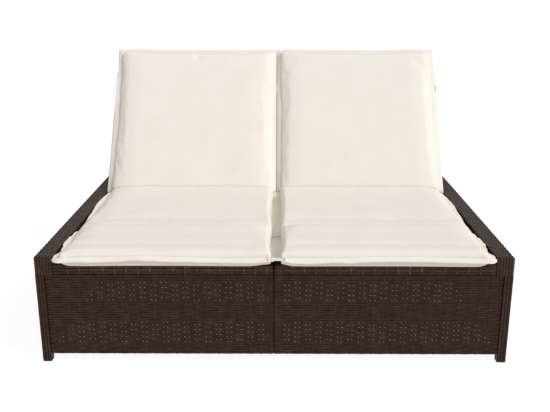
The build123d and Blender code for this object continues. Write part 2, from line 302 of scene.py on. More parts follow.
def coated_steel_material():
    """Powder-coated steel: fine orange-peel skin with a soft gloss."""
    material = new_material("powder_coated_steel")
    place = add_node(material, "ShaderNodeTexCoord")
    peel = add_node(
        material, "ShaderNodeTexNoise", inputs={"Scale": 700.0, "Detail": 2.0},
        links={"Vector": place.outputs["Object"]}
    )
    scuff = add_node(
        material, "ShaderNodeTexNoise", inputs={"Scale": 14.0, "Detail": 6.0, "Roughness": 0.7},
        links={"Vector": place.outputs["Object"]}
    )
    colour = add_node(
        material, "ShaderNodeValToRGB", links={"Fac": scuff.outputs["Fac"]},
        stops=((0.35, colours().steel), (0.75, "#3a2f29"))
    )
    bump = add_node(
        material, "ShaderNodeBump", inputs={"Strength": 0.25, "Distance": 0.1 * MM},
        links={"Height": peel.outputs["Fac"]}
    )
    set_node(
        material, "Principled BSDF", {"Roughness": 0.42, "IOR": 1.5},
        {"Base Color": colour.outputs["Color"], "Normal": bump.outputs["Normal"]}
    )
    return material


def zinc_material():
    """Zinc-plated steel: bright, slightly mottled by the passivation."""
    material = new_material("zinc_plated_steel")
    place = add_node(material, "ShaderNodeTexCoord")
    mottle = add_node(
        material, "ShaderNodeTexNoise", inputs={"Scale": 260.0, "Detail": 3.0},
        links={"Vector": place.outputs["Object"]}
    )
    colour = add_node(
        material, "ShaderNodeValToRGB", links={"Fac": mottle.outputs["Fac"]},
        stops=((0.3, "#a5a6a2"), (0.7, colours().zinc))
    )
    rough = add_node(
        material, "ShaderNodeMapRange", inputs={"To Min": 0.28, "To Max": 0.42},
        links={"Value": mottle.outputs["Fac"]}
    )
    set_node(
        material, "Principled BSDF", {"Metallic": 1.0},
        {"Base Color": colour.outputs["Color"], "Roughness": rough.outputs[0]}
    )
    return material


def glide_material():
    """Injection-moulded polyethylene: black, fine spark-eroded grain."""
    material = new_material("moulded_polyethylene")
    place = add_node(material, "ShaderNodeTexCoord")
    grain = add_node(
        material, "ShaderNodeTexNoise", inputs={"Scale": 900.0, "Detail": 2.0},
        links={"Vector": place.outputs["Object"]}
    )
    colour = add_node(
        material, "ShaderNodeValToRGB", links={"Fac": grain.outputs["Fac"]},
        stops=((0.3, colours().glide), (0.7, "#262422"))
    )
    bump = add_node(
        material, "ShaderNodeBump", inputs={"Strength": 0.3, "Distance": 0.08 * MM},
        links={"Height": grain.outputs["Fac"]}
    )
    set_node(
        material, "Principled BSDF", {"Roughness": 0.55, "IOR": 1.51},
        {"Base Color": colour.outputs["Color"], "Normal": bump.outputs["Normal"]}
    )
    return material


def studio_material():
    """Matt white sweep that reads as white in the picture and still takes a soft shadow."""
    material = new_material("studio_white")
    paths = add_node(material, "ShaderNodeLightPath")
    seen = add_node(
        material, "ShaderNodeMath", {"operation": "ADD"},
        links={0: paths.outputs["Is Camera Ray"], 1: paths.outputs["Is Glossy Ray"]}
    )
    seen_through = add_node(
        material, "ShaderNodeMath", {"operation": "ADD", "use_clamp": True},
        links={0: seen.outputs[0], 1: paths.outputs["Is Transmission Ray"]}
    )
    share = add_node(
        material, "ShaderNodeMath", {"operation": "MULTIPLY"}, inputs={1: 0.88},
        links={0: seen_through.outputs[0]}
    )
    glow = add_node(material, "ShaderNodeEmission", inputs={"Color": (1, 1, 1, 1), "Strength": 1.06})
    base = set_node(material, "Principled BSDF", {"Base Color": srgb("#fafafa"), "Roughness": 0.9})
    mix = add_node(
        material, "ShaderNodeMixShader", links={0: share.outputs[0], 1: base.outputs[0], 2: glow.outputs[0]}
    )
    set_node(material, "Material Output", links={"Surface": mix.outputs[0]})
    return material


def material_for(key):
    """Each material is made once, on first use."""
    makers = {
        "rattan": strand_material,
        # Lighter copies of the skirt's strand: painted light on the headers in the pads' shadow and on the rail
        # caps,
        # painted sheen on the rails, and painted highlights on the header's rings
        "header rattan": lambda: strand_material("header_rattan_painted_light", 1.6, 1.0, rings=1.9, shades=OLIVE_STRAND),
        "cap rattan": lambda: strand_material("cap_rattan_painted_light", 1.3, 0.65, shades=OLIVE_STRAND),
        "rail rattan": lambda: strand_material("rail_rattan_painted_sheen", 1.05, 0.8, 0.42, 0.5, shades=OLIVE_STRAND),
        "cover": cover_material, "steel": coated_steel_material, "zinc": zinc_material,
        "glide": glide_material, "studio": studio_material
    }
    if key not in made_materials:
        made_materials[key] = makers[key]()
    return made_materials[key]


made_materials = {}


# Modelling helpers
def only(*objects):
    """Selects these objects alone, the first of them active."""
    bpy.ops.object.select_all(action="DESELECT")
    for item in objects:
        item.select_set(True)
    bpy.context.view_layer.objects.active = objects[0]


def apply_modifiers(item):
    only(item)
    for modifier in list(item.modifiers):
        bpy.ops.object.modifier_apply(modifier=modifier.name)
    return item


def join(items, name):
    only(*items)
    if len(items) > 1:
        bpy.ops.object.join()
    item = bpy.context.object
    item.name = name
    item.data.name = name
    return item


def repeat(item, offset, count):
    """Copies in a row, a fixed distance apart."""
    modifier = item.modifiers.new("repeat", "ARRAY")
    modifier.use_relative_offset = False
    modifier.use_constant_offset = True
    modifier.constant_offset_displace = offset
    modifier.count = count
    return apply_modifiers(item)


def smooth(item, angle=50):
    only(item)
    bpy.ops.object.shade_smooth_by_angle(angle=math.radians(angle))
    return item


def box_piece(name, size, middle=(0, 0, 0)):
    """A plain box, with its place in its mesh."""
    bpy.ops.object.select_all(action="DESELECT")
    bpy.ops.mesh.primitive_cube_add(size=1)
    box = bpy.context.object
    box.name = name
    box.scale = size
    box.location = middle
    bpy.ops.object.transform_apply(location=True, rotation=False, scale=True)
    return box


def select_edges(item, axis=0, wanted=lambda middle: True):
    """In edit mode: selects the edges along one axis whose middle is wanted, and nothing else."""
    mesh = bmesh.from_edit_mesh(item.data)
    for part in (*mesh.verts, *mesh.edges, *mesh.faces):
        part.select = False
    for edge in mesh.edges:
        start, end = (vert.co for vert in edge.verts)
        run = end - start
        if abs(run[axis]) > 0.999 * run.length and wanted((start + end) / 2):
            edge.select_set(True)
    bmesh.update_edit_mesh(item.data)


def without_uvs(item):
    for layer in list(item.data.uv_layers):
        item.data.uv_layers.remove(layer)
    return item


def straight_bar(name, length, width, thickness, cuts, both_faces=True, ease=0.28):
    """A flat strand along X from 0, its long edges eased, cut across so that it can be laid."""
    bar = box_piece(name, (length, thickness, width), (length / 2, 0, 0))
    bpy.ops.object.mode_set(mode="EDIT")
    bpy.ops.mesh.select_mode(type="EDGE")
    select_edges(bar, wanted=lambda middle: both_faces or middle.y < 0)
    bpy.ops.mesh.bevel(offset=thickness * ease * 1.6, segments=1, affect="EDGES")
    if cuts:
        # One call makes 100 cuts at most
        passes = math.ceil((cuts + 1) / 100)
        for pieces in (math.ceil((cuts + 1) / passes), passes):
            if pieces > 1:
                select_edges(bar)
                bpy.ops.mesh.subdivide(number_cuts=pieces - 1)
    bpy.ops.object.mode_set(mode="OBJECT")
    return without_uvs(bar)


def lay(bar, place, ring=0):
    """Moves each point of a straight bar to its place, and keeps where it was as its UV."""
    layer = bar.data.uv_layers.new(name="strand")
    rib = bar.data.uv_layers.new(name="rib")
    half = max(vert.co.z for vert in bar.data.vertices)
    for loop in bar.data.loops:
        along, depth, across = bar.data.vertices[loop.vertex_index].co
        layer.data[loop.index].uv = (along, across + depth)
        rib.data[loop.index].uv = (ring, across / half)
    for vert in bar.data.vertices:
        vert.co = place(*vert.co)
    return bar


def to_frame(item, matrix):
    """Puts a piece's mesh where it belongs; the object itself stays at the origin."""
    item.data.transform(matrix)
    if matrix.determinant() < 0:
        item.data.flip_normals()
    item.data.update()
    return item


def copy_of(item, name):
    """A copy with a mesh of its own."""
    copy = item.copy()
    copy.data = item.data.copy()
    copy.name = name
    copy.data.name = name
    bpy.context.collection.objects.link(copy)
    return copy


def mirrored(item, name):
    """The same piece on the other side of the lounger."""
    return to_frame(copy_of(item, name), Matrix.Scale(-1, 4, (1, 0, 0)))


def at_rear(item, name):
    """The same piece at the head end."""
    turn = Matrix.Translation((0, 2 * CENTRE_Y, 0)) @ Matrix.Scale(-1, 4, (0, 1, 0))
    return to_frame(copy_of(item, name), turn)


def on_back():
    """Local (across, rear, along the back) to the frame, for a raised back."""
    turn = Matrix.Rotation(REST_ANGLE, 4, "X")
    flat = Matrix(((1, 0, 0, 0), (0, 0, 1, 0), (0, -1, 0, 0), (0, 0, 0, 1)))
    return Matrix.Translation((0, HINGE.y, HINGE.z)) @ turn @ flat


def give_material(item, key):
    item.data.materials.clear()
    item.data.materials.append(material_for(key))


def finish(item, body, material, nodes):
    """The last steps of every piece: its finish, its body and the nodes that it stands for."""
    give_material(item, material)
    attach(item, body)
    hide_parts(*nodes)
    return item


def both_sides(item, node, material="rattan", reclines=False):
    """Finishes a woven piece of the right place, and its mirror image on the left."""
    smooth(item)
    other = mirrored(item, item.name.replace("right", "left"))
    for side, piece in (("right", item), ("left", other)):
        body = f"back_{side}" if reclines else "base"
        finish(piece, body, material, [f"{node}_{side}"])


# Weaving
def swing(along, phase, spacing, first):
    """Where a strand lies between front and rear: it bows out where it crosses a warp."""
    wave = math.cos(math.pi * ((along - first) / spacing + phase))
    return -wave * abs(wave)


def woven_rows(name, length, row_pitch, count, spacing, first, depth, strand, cuts_per_warp, both):
    """Rows of flat strand, over and under by turns, in X and Z; the front faces -Y."""
    cuts = max(2, round(length / spacing * cuts_per_warp))
    rows = []
    for phase in (0, 1):
        bar = straight_bar(f"{name}_row{phase}", length, strand, sizes().strand_thickness, cuts, both)

        def place(along, rear, across, phase=phase):
            shift = depth * swing(along, phase, spacing, first)
            return (along, rear + shift, across + row_pitch * (0.5 + phase))

        rows.append(lay(bar, place))
    pair = join(rows, name)
    return repeat(pair, (0, 0, row_pitch * 2), count // 2)


def warps(name, length, height, spacing, first, width):
    """The straight strands that the rows pass over and under."""
    bar = straight_bar(name, height, width, sizes().strand_thickness, 0)
    lay(bar, lambda along, rear, across: (first + across, rear, along))
    bar.data.flip_normals()
    count = int((length - first - width / 2) / spacing) + 1
    return repeat(bar, (spacing, 0, 0), count)


def flat_bar(name, low, high, ease):
    """A tube or bar of the panel's own frame, its edges rounded."""
    bar = box_piece(name, [b - a for a, b in zip(low, high)], [(a + b) / 2 for a, b in zip(low, high)])
    bevel(bar, "ease", ease)
    bar.data.uv_layers[0].name = "strand"
    return bar


def bevel(item, name, width):
    modifier = item.modifiers.new(name, "BEVEL")
    modifier.width = width
    modifier.segments = 2
    return apply_modifiers(item)


def skirt_panel(name, length, height, first, edge, cuts_per_warp, bars):
    """A woven panel from (0, 0, 0), its face to -Y, with the frame that stiffens it."""
    size = sizes()
    pitch = height / size.row_count
    sheet = woven_rows(
        name, length, pitch, size.row_count, size.warp_spacing, first, size.weave_depth, pitch - 0.1 * MM,
        cuts_per_warp, False
    )
    upright = warps(name + "_warps", length, height, size.warp_spacing, first, size.warp_width)
    rear = size.weave_depth + size.strand_thickness
    bars = [
        flat_bar(name + "_bar", (0, rear, low), (length, rear + 20 * MM, high), 3 * MM)
        for low, high in bars
    ]
    stiles = [
        flat_bar(name + "_stile", (low, rear, 0), (low + 16 * MM, rear + 16 * MM, height), 2 * MM)
        for low in (-edge, length + edge - 16 * MM)
    ]
    return join([sheet, upright, *bars, *stiles], name)


def ring_point(t, half_x, half_z, corner):
    """A point and its outward direction at distance t round a rounded rectangle."""
    straight_x, straight_z = 2 * (half_x - corner), 2 * (half_z - corner)
    quarter = math.pi * corner / 2
    perimeter = 2 * (straight_x + straight_z) + 4 * quarter
    t = t % perimeter
    legs = (
        ((-half_x + corner, -half_z), (1, 0), straight_x), ((half_x, -half_z + corner), (0, 1), straight_z),
        ((half_x - corner, half_z), (-1, 0), straight_x), ((-half_x, half_z - corner), (0, -1), straight_z)
    )
    for (x, z), (dx, dz), length in legs:
        if t <= length:
            return Vector((x + dx * t, z + dz * t)), Vector((dz, -dx))
        t -= length
        if t <= quarter:
            angle = t / corner
            outward = Vector((dz, -dx))
            turned = Vector(
                (
                    outward.x * math.cos(angle) - outward.y * math.sin(angle),
                    outward.x * math.sin(angle) + outward.y * math.cos(angle),
                )
            )
            centre = Vector((x + dx * length, z + dz * length)) - outward * corner
            return centre + turned * corner, turned
        t -= quarter
    return Vector(legs[0][0]), Vector((0, -1))


def ring_length(half_x, half_z, corner):
    return 4 * (half_x + half_z - 2 * corner) + 2 * math.pi * corner


def wound_tube(name, length, half_x, half_z, corner, pitch, segments):
    """Strand wound round a tube along Y from 0, each turn beside the last."""
    perimeter = ring_length(half_x, half_z, corner)
    thick = sizes().strand_thickness
    bar = straight_bar(name, perimeter, pitch - 0.3 * MM, thick, segments)

    def place(along, rear, across):
        point, outward = ring_point(along, half_x, half_z, corner)
        lean = pitch * 0.5 * math.sin(2 * math.pi * along / perimeter) * 0.2
        point = point + outward * (-rear - thick / 2)
        return (point.x, pitch / 2 + across + lean, point.y)

    lay(bar, place)
    bar.data.flip_normals()
    return repeat(bar, (0, pitch, 0), int(length / pitch))


def lengthwise_strands(name, length, half_x, half_z, counts, spacing, depth, cuts_per_warp):
    """Strands along Y on the four sides of a tube, over and under rings round it."""
    strands, bars = [], []
    thick = sizes().strand_thickness
    cuts = max(2, round(length / spacing * cuts_per_warp))
    width = 2 * half_x / counts[0] - 0.4 * MM
    for phase in (0, 1):
        bar = straight_bar(f"{name}_strand{phase}", length, width, thick, cuts, False)

        def place(along, rear, across, phase=phase):
            shift = depth * swing(along, phase, spacing, spacing / 2)
            return (across, along, -(rear + shift))

        bars.append(lay(bar, place))
    sides = (
        (half_x, half_z, 0.0, counts[0]), (half_z, half_x, math.pi / 2, counts[1]),
        (half_x, half_z, math.pi, counts[0]), (half_z, half_x, -math.pi / 2, counts[1])
    )
    for half_width, half_height, turn, count in sides:
        pitch = 2 * half_width / count
        for index in range(count):
            copy = copy_of(bars[index % 2], f"{name}_strand")
            offset = -half_width + pitch * (index + 0.5)
            edge = index in (0, count - 1)
            drop = (0.9 if count > 3 else 1.2) * MM if edge else 0.0
            height = half_height - thick / 2 - depth - drop
            tilt = (0.28 if count > 3 else 0.2) if edge else 0.0
            lean = Matrix.Rotation(tilt if index else -tilt, 4, "Y")
            move = Matrix.Translation((offset, 0, height))
            copy.data.transform(Matrix.Rotation(turn, 4, "Y") @ move @ lean)
            strands.append(copy)
    for bar in bars:
        bpy.data.objects.remove(bar)
    return join(strands, name)


def ring_warps(name, length, half_x, half_z, corner, spacing, width, segments):
    """The rings that lengthwise strands pass over and under."""
    perimeter = ring_length(half_x, half_z, corner)
    thick = sizes().strand_thickness
    bar = straight_bar(name, perimeter, width, thick, segments)

    def place(along, rear, across):
        point, outward = ring_point(along, half_x, half_z, corner)
        point = point + outward * (-rear - thick / 2)
        return (point.x, spacing / 2 + across, point.y)

    lay(bar, place, 1)
    bar.data.flip_normals()
    return repeat(bar, (0, spacing, 0), int(length / spacing))


def woven_tube(name, low, high, along, counts, spacing, depth, cuts_per_warp, corner):
    """A tube clad in lengthwise strands woven through rings, between two corners of the frame."""
    size = [b - a for a, b in zip(low, high)]
    middle = [(a + b) / 2 for a, b in zip(low, high)]
    length = size[1] if along == "Y" else size[0]
    half_x = (size[0] if along == "Y" else size[1]) / 2
    half_z = size[2] / 2
    strands = lengthwise_strands(name, length, half_x, half_z, counts, spacing, depth, cuts_per_warp)
    inset = depth + 0.2 * MM
    rings = ring_warps(
        name + "_rings", length, half_x - inset, half_z - inset, corner - inset, spacing, 5 * MM, 24
    )
    core_inset = 2 * depth + sizes().strand_thickness
    core = flat_bar(
        name + "_core", (-half_x + core_inset, 0, -half_z + core_inset),
        (half_x - core_inset, length, half_z - core_inset), 2 * MM
    )
    tube = join([strands, rings, core], name)
    if along == "Y":
        place = Matrix.Translation((middle[0], low[1], middle[2]))
    else:
        place = Matrix.Translation((low[0], middle[1], middle[2]))
        place = place @ Matrix.Rotation(-math.pi / 2, 4, "Z")
    return to_frame(tube, place)


# Operators: the woven base
class LOUNGER_OT_skirt(bpy.types.Operator):
    """Weave the front, rear and side panels of the skirt"""

    bl_idname = "lounger.skirt"
    bl_label = "Woven skirt"

    top_bar = 22 * MM

    def execute(self, context):
        self.end_panels()
        self.side_panels()
        return {"FINISHED"}

    def end_panels(self):
        low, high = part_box("front_panel_right")
        edge = 2 * MM
        length = high[0] - low[0] - 2 * edge
        height = high[2] - low[2]
        bars = ((height - self.top_bar, height),)
        panel = skirt_panel("woven_front_panel_right", length, height, 5.5 * MM, edge, 8, bars)
        to_frame(panel, Matrix.Translation((low[0] + edge, low[1] + 2.4 * MM, low[2])))
        rear = at_rear(panel, "woven_rear_panel_right")
        both_sides(panel, "front_panel")
        both_sides(rear, "rear_panel")

    def side_panels(self):
        low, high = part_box("side_panel_right")
        edge = 2 * MM
        length = high[1] - low[1] - 2 * edge
        height = high[2] - low[2]
        tube_low, tube_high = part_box("front_panel_bar")
        middle_bar = (tube_low[2] - low[2], tube_high[2] - low[2])
        bars = (middle_bar, (height - self.top_bar, height))
        panel = skirt_panel("woven_side_panel_right", length, height, 10 * MM, edge, 4, bars)
        turn = Matrix.Rotation(math.pi / 2, 4, "Z")
        place = Matrix.Translation((high[0] - 2.4 * MM, low[1] + edge, low[2]))
        to_frame(panel, place @ turn)
        both_sides(panel, "side_panel")


class LOUNGER_OT_rails(bpy.types.Operator):
    """Clad the two arm rails and fold strands over their ends"""

    bl_idname = "lounger.rails"
    bl_label = "Arm rails"

    def execute(self, context):
        low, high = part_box("arm_rail_right")
        rail = woven_tube("woven_arm_rail_right", low, high, "Y", (6, 6), 14 * MM, 1.3 * MM, 3, 7 * MM)
        both_sides(rail, "arm_rail", "rail rattan")
        self.caps()
        return {"FINISHED"}

    def caps(self):
        low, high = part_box("arm_rail_right")
        width, height = high[0] - low[0], high[2] - low[2]
        end = FRONT_Y
        strips = []
        count = 6
        pitch = width / count
        fold, lap = 5 * MM, 16 * MM
        thick = 1.6 * MM
        run = height - fold
        length = run + fold * math.pi / 2 + lap
        for index in range(count):
            bar = straight_bar(f"fold{index}", length, pitch - 0.5 * MM, thick, 26)
            uneven = 0.35 * MM * math.sin(index * 2.3)

            def place(along, rear, across, index=index, uneven=uneven):
                x = low[0] + pitch * (index + 0.5) + across
                edge = abs((x - (low[0] + high[0]) / 2) / (width / 2))
                rounding = 3 * MM * max(0.0, edge - 0.82) / 0.18
                y, z = end + thick / 2 + uneven + rounding, low[2] + along
                ny, nz = -1.0, 0.0
                if along > run:
                    angle = min((along - run) / fold, math.pi / 2)
                    ny, nz = -math.cos(angle), math.sin(angle)
                    y = end + fold + thick / 2 + uneven + rounding + ny * fold
                    z = low[2] + run + nz * fold - thick / 2 * math.sin(angle)
                    y += max(0.0, along - run - fold * math.pi / 2)
                return (x, y - ny * rear, z - nz * rear - rounding * nz)

            lay(bar, place)
            bar.data.flip_normals()
            strips.append(bar)
        core = flat_bar(
            "cap_core", (low[0] + 2 * MM, end + 1.8 * MM, low[2] + 1 * MM),
            (high[0] - 2 * MM, end + 12 * MM, high[2] - 2.2 * MM), 2 * MM
        )
        cap = join([*strips, core], "rail_cap_folds")
        pair = join([cap, at_rear(cap, "rear_folds")], "rail_cap_folds")
        both = join([pair, mirrored(pair, "other_folds")], "rail_cap_folds")
        smooth(both)
        finish(both, "base", "cap rattan", ["rail_caps"])


class LOUNGER_OT_headers(bpy.types.Operator):
    """Clad the top tubes of the skirt at both ends"""

    bl_idname = "lounger.headers"
    bl_label = "Headers"

    def execute(self, context):
        for end in ("front", "rear"):
            low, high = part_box(f"{end}_header_right")
            low = (low[0] + 2 * MM, low[1], low[2])
            high = (high[0] - 1.5 * MM, high[1], high[2])
            header = woven_tube(
                f"woven_{end}_header_right", low, high, "X", (3, 3), 38 * MM, 1.2 * MM, 6, 4 * MM
            )
            both_sides(header, f"{end}_header", "header rattan")
        return {"FINISHED"}


class LOUNGER_OT_legs(bpy.types.Operator):
    """Lay strands down the four corner legs"""

    bl_idname = "lounger.legs"
    bl_label = "Corner legs"

    def execute(self, context):
        for end in ("front", "rear"):
            low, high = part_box(f"{end}_leg_right")
            leg = self.ribbed_leg(f"wrapped_{end}_leg_right", low, high)
            both_sides(leg, f"{end}_leg")
        return {"FINISHED"}

    def ribbed_leg(self, name, low, high):
        half = (high[0] - low[0]) / 2
        middle = [(a + b) / 2 for a, b in zip(low, high)]
        height = high[2] - low[2]
        thick = 1.6 * MM
        count = 3
        pitch = 2 * half / count
        strips = []
        for face in range(4):
            for index in range(count):
                bar = straight_bar("rib", height, pitch - 0.5 * MM, thick, 40)
                seed = face * count + index + 1

                def place(along, rear, across, seed=seed, index=index):
                    wander = noise.noise(Vector((along * 22, seed * 3.1, 0))) * 0.5 * MM
                    side = -half + pitch * (index + 0.5) + across + wander * 0.6
                    edge = max(0.0, abs(side) / half - 0.8) / 0.2
                    out = half - thick / 2 - 1.4 * MM * edge**2 + wander * 0.5
                    return (side, -out + rear, along)

                lay(bar, place)
                bar.data.flip_normals()
                bar.data.transform(Matrix.Rotation(face * math.pi / 2, 4, "Z"))
                strips.append(bar)
        core = flat_bar(
            name + "_core", (-half + 1.6 * MM, -half + 1.6 * MM, 0.5 * MM),
            (half - 1.6 * MM, half - 1.6 * MM, height), 2.5 * MM
        )
        leg = join([*strips, core], name)
        return to_frame(leg, Matrix.Translation((middle[0], middle[1], low[2])))


class LOUNGER_OT_decks(bpy.types.Operator):
    """Weave the two seat decks"""

    bl_idname = "lounger.decks"
    bl_label = "Seat decks"

    def execute(self, context):
        low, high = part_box("seat_deck_right")
        length, depth = high[0] - low[0], high[1] - low[1]
        pitch = 16 * MM
        count = int(depth / pitch / 2) * 2
        pitch = depth / count
        size = sizes()
        sheet = woven_rows(
            "woven_seat_deck_right", length, pitch, count, size.warp_spacing, 12 * MM, 1.2 * MM,
            pitch - 0.6 * MM, 4, False
        )
        upright = warps("deck_warps", length, depth, size.warp_spacing, 12 * MM, 8 * MM)
        deck = join([sheet, upright], "woven_seat_deck_right")
        flat = Matrix(((1, 0, 0, low[0]), (0, 0, 1, low[1]), (0, -1, 0, high[2] - 3 * MM), (0, 0, 0, 1)))
        to_frame(deck, flat)
        both_sides(deck, "seat_deck")
        return {"FINISHED"}


# Operators: the reclining backs
class LOUNGER_OT_backs(bpy.types.Operator):
    """Wind the tubes of the two backs and weave between them"""

    bl_idname = "lounger.backs"
    bl_label = "Reclining backs"

    tube = 26 * MM
    length = 694 * MM
    inner_x = 5 * MM
    outer_x = 714 * MM
    winding_segments = 22

    def execute(self, context):
        half = self.tube / 2
        for which, low_x in (("inner", self.inner_x), ("outer", self.outer_x - self.tube)):
            upright = Matrix(((1, 0, 0, low_x + half), (0, 0, -1, 0), (0, 1, 0, -half), (0, 0, 0, 1)))
            name, node = f"wound_{which}_stile_right", f"back_{which}_stile"
            self.tube_piece(name, self.length + half, upright, node)
        start, height = self.inner_x + self.tube, self.length - half
        across = Matrix(((0, 1, 0, start), (-1, 0, 0, 0), (0, 0, 1, height), (0, 0, 0, 1)))
        width = self.outer_x - self.inner_x - 2 * self.tube
        self.tube_piece("wound_top_tube_right", width, across, "back_top_tube")
        self.weave()
        return {"FINISHED"}

    def tube_piece(self, name, length, place, node):
        """A wound tube with a core inside the winding, closed at both ends."""
        half = self.tube / 2
        winding = wound_tube(name, length, half, half, 4 * MM, sizes().wrap_pitch, self.winding_segments)
        inner = half - 1.2 * MM
        low, high = (-inner, 0.3 * MM, -inner), (inner, length - 0.3 * MM, inner)
        tube = join([winding, flat_bar(name + "_core", low, high, 3 * MM)], name)
        both_sides(to_frame(tube, on_back() @ place), node, reclines=True)

    def weave(self):
        size = sizes()
        x0, x1 = self.inner_x + self.tube, self.outer_x - self.tube
        u0, u1 = self.tube / 2, self.length - self.tube
        count = int((u1 - u0) / (9 * MM) / 2) * 2
        pitch = (u1 - u0) / count
        sheet = woven_rows(
            "woven_back_right", x1 - x0, pitch, count, size.warp_spacing, 13 * MM, 1.4 * MM,
            pitch - 0.3 * MM, 4, True
        )
        upright = warps("back_warps", x1 - x0, u1 - u0, size.warp_spacing, 13 * MM, 7 * MM)
        back = join([sheet, upright], "woven_back_right")
        front = -self.tube / 2 + 2.6 * MM
        to_frame(back, on_back() @ Matrix.Translation((x0, front, u0)))
        both_sides(back, "back_weave", reclines=True)


# Operators: cushions
def gridded_box(name, size, cell):
    """A box on the origin whose faces are cut into an even grid, finer up the sides."""
    box = box_piece(name, size)
    bpy.ops.object.mode_set(mode="EDIT")
    bpy.ops.mesh.select_mode(type="EDGE")
    for axis, length in enumerate(size):
        step = cell if axis < 2 else cell / 2
        select_edges(box, axis)
        bpy.ops.mesh.subdivide(number_cuts=max(1, round(length / step) - 1))
    bpy.ops.object.mode_set(mode="OBJECT")
    return without_uvs(box)


def ease_in(value, start, end):
    """0 before start, 1 after end, and a smooth step between them."""
    share = min(1.0, max(0.0, (value - start) / (end - start)))
    return share * share * (3 - 2 * share)


class Pad:
    """One section of a cushion, lying flat: its sizes, and where its cover runs."""

    side_roll = 46 * MM
    centre_roll = 6 * MM
    edge_roll = 24 * MM
    outer_droop = 6 * MM
    strip_sag = 10 * MM
    fold_roll = 5 * MM
    side_flange = 20 * MM
    fold_gap = 0.9 * MM
    centre_reach = 1.35 * MM
    # The line where the two backs meet lies to the right of the middle
    line_shift = 3.5 * MM
    # The left place's filling reaches further to the middle than the right one's
    left_fullness = 13 * MM
    drawn_in = 5 * MM
    crown = 6 * MM
    sew_level = 24.5 * MM
    hang = 10 * MM
    seam_wander = 2.4 * MM
    corner_droop = 9 * MM
    # How far from an edge each change of form is over
    corner_run = 40 * MM
    filling_run = 200 * MM
    crease_run = 30 * MM
    side_run = 95 * MM
    end_run = 110 * MM
    rise_reach = 14 * MM
    centre_droop = 22 * MM
    tuck = 3 * MM
    hem = 2.5 * MM
    roundness = 2.3
    corner_power = 7
    # Swellings and hollows beside the fold and behind the foot end's roll:
    # height, distance from the edge, half width
    front_fold = (-5.5 * MM, 80 * MM, 52 * MM)
    rear_fold = (10 * MM, 46 * MM, 50 * MM)
    foot_hollow = (-6 * MM, 74 * MM, 24 * MM)
    # How far the seam at the foot end rises, by the distance from the outer side, in millimetres
    seam_rises = ((0, 0), (100, 1.5), (270, 6), (470, 1.5), (690, 0))
    # The cover is pulled in along the seam
    pinch = 3.5 * MM
    pinch_reach = 6 * MM

    def __init__(self, part, width, length, thickness, flanges, outer_edge, laps_over, seed):
        self.part = part
        self.half_x = width / 2 - self.side_flange
        self.thickness = thickness
        self.seed = seed
        self.outer_edge = outer_edge
        self.laps_over = laps_over
        self.front_flange, self.rear_flange = flanges
        self.fuller = 0.0 if laps_over else self.left_fullness
        self.corner_reach = self.corner_run + 2 * self.fuller
        self.front = self.front_flange or self.fold_gap
        self.rear = length - (self.rear_flange or self.fold_gap)
        self.half_y = (self.rear - self.front) / 2
        self.middle_y = (self.rear + self.front) / 2
        self.length = length

    def fit(self, x, y):
        """The share of the full outline that is left where the sides are drawn in."""
        along_x = min(1.0, abs(x) / self.half_x)
        along_y = min(1.0, abs(y - self.middle_y) / self.half_y)
        pull_x = self.drawn_in * (1 - along_y**2) / self.half_x
        edge = self.rear_flange if y > self.middle_y else self.front_flange
        pull_y = (self.drawn_in if edge else 0.0) * (1 - along_x**2) / self.half_y
        return 1 - pull_x, 1 - pull_y

    def cover(self, point):
        """Moves a point of the plain box to the stuffed, sewn cover."""
        x, y, z = point
        y += self.middle_y
        z += self.thickness / 2
        front_roll = self.fold_roll if self.part == "seat" else self.edge_roll
        rear_roll = self.edge_roll if self.rear_flange else self.fold_roll
        sewn = self.sewn_at(x, y)
        core_y = min(max(y, self.front + front_roll), self.rear - rear_roll)
        roll_y = front_roll if y < self.middle_y else rear_roll
        above = z > self.sew_level
        roll_z = self.thickness - self.sew_level if above else self.sew_level
        side_roll = self.side_roll if x > 0 or self.part == "back" else self.centre_roll
        core_x = min(max(x, -self.half_x + side_roll), self.half_x - side_roll)
        share_x = (x - core_x) / side_roll
        share_y = (y - core_y) / roll_y
        share_z = (z - self.sew_level) / roll_z
        power = self.corner_power
        plan = (abs(share_x) ** power + abs(share_y) ** power) ** (1 / power)
        size = (plan**self.roundness + abs(share_z) ** self.roundness) ** (1 / self.roundness)
        x = core_x + side_roll * share_x / size
        y = core_y + roll_y * share_y / size
        z = sewn + (self.thickness - sewn if above else sewn) * share_z / size
        pull = self.pinch * math.exp(-(((z - sewn) / self.pinch_reach) ** 2))
        x -= pull * share_x / size
        y -= pull * share_y / size
        fit_x, fit_y = self.fit(x, y)
        z += self.swell(x, y, z, sewn)
        edge = (abs(x) / self.half_x) ** 6
        x += self.seam_wander * edge * noise.noise(Vector((y * 16, self.seed * 6.1, x)))
        if self.front_flange and z < self.sew_level:
            reach = self.corner_reach if x < 0 else self.corner_run
            from_sides = ease_in(self.half_x - abs(x), 0, reach)
            z -= self.hang * from_sides * ease_in(self.front + 14 * MM - y, 0, 12 * MM)
        z += self.seam_rise(x, y) * math.exp(-(((z - self.sew_level) / self.rise_reach) ** 2))
        across = x * fit_x - self.towards_middle(x)
        return Vector((across, self.middle_y + (y - self.middle_y) * fit_y, z))

    def towards_middle(self, x):
        """How far the filling is shifted to the middle of the lounger."""
        return self.fuller * (1 - ease_in(x, -self.half_x, -self.half_x + self.filling_run))

    def sewn_at(self, x, y):
        """Height of the seam: it runs low where two places face each other."""
        if self.part == "leg":
            from_ends = ease_in(y, self.front, self.front + 70 * MM)
        else:
            from_ends = ease_in(self.rear - y, 0, 60 * MM)
        low = 0.0 if self.part == "back" else self.centre_droop * from_ends
        return self.sew_level - low * (1 - ease_in(x, -self.half_x, -self.half_x + self.crease_run))

